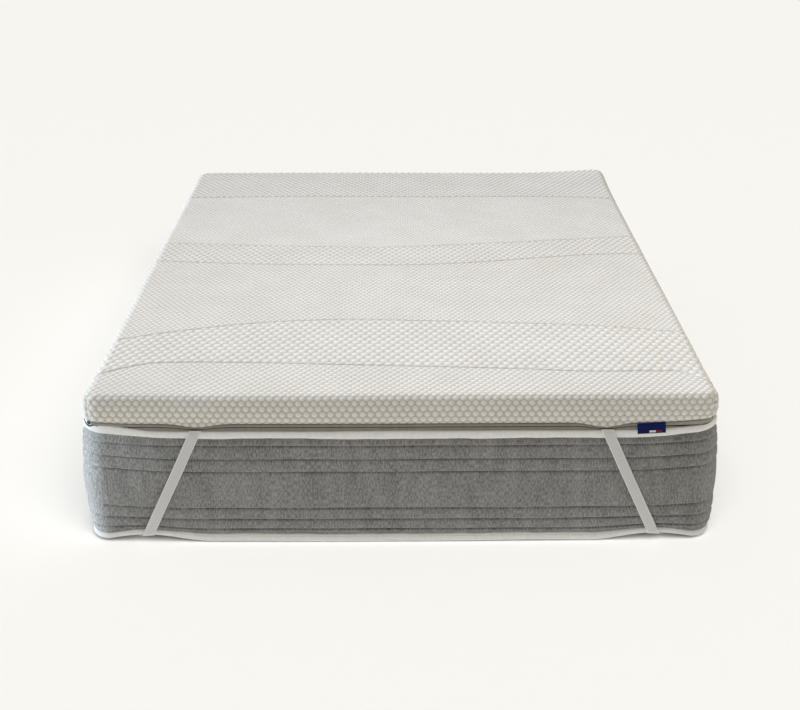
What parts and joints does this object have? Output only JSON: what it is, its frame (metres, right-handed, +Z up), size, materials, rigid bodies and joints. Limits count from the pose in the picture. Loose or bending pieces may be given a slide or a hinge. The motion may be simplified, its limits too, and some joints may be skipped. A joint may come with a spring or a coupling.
{
  "type": "mattress topper strapped on a mattress",
  "caption": "Foam mattress topper in a bubble-knit zipped cover with wavy grooves, held by elastic corner straps on a plain mattress with channelled, taped borders.",
  "frame": {"origin": "middle of the face that the mattress rests on", "axes": "+Y along the length from the foot end to the head end, +X to the right seen from the foot end, +Z up"},
  "size_m": [1.4382, 1.941, 0.3745],
  "materials": {
    "bubble_knit": "off-white raised bubble knit",
    "zip_tape": "grey-beige woven zip tape",
    "zip_metal": "dark enamelled slider",
    "label_weave": "navy woven label, bare",
    "elastic": "light grey ribbed elastic",
    "heather_knit": "heather grey knitted border",
    "edge_tape": "white binding tape"
  },
  "bodies": {
    "root": {"topper_pad": "bubble_knit", "zip_band": "zip_tape", "zip_pull": "zip_metal", "label": "label_weave", "strap_front_left": "elastic", "strap_front_right": "elastic", "strap_back_left": "elastic", "strap_back_right": "elastic", "mattress": "heather_knit", "mattress_tape_top": "edge_tape", "mattress_tape_bottom": "edge_tape"}
  },
  "joints": []
}
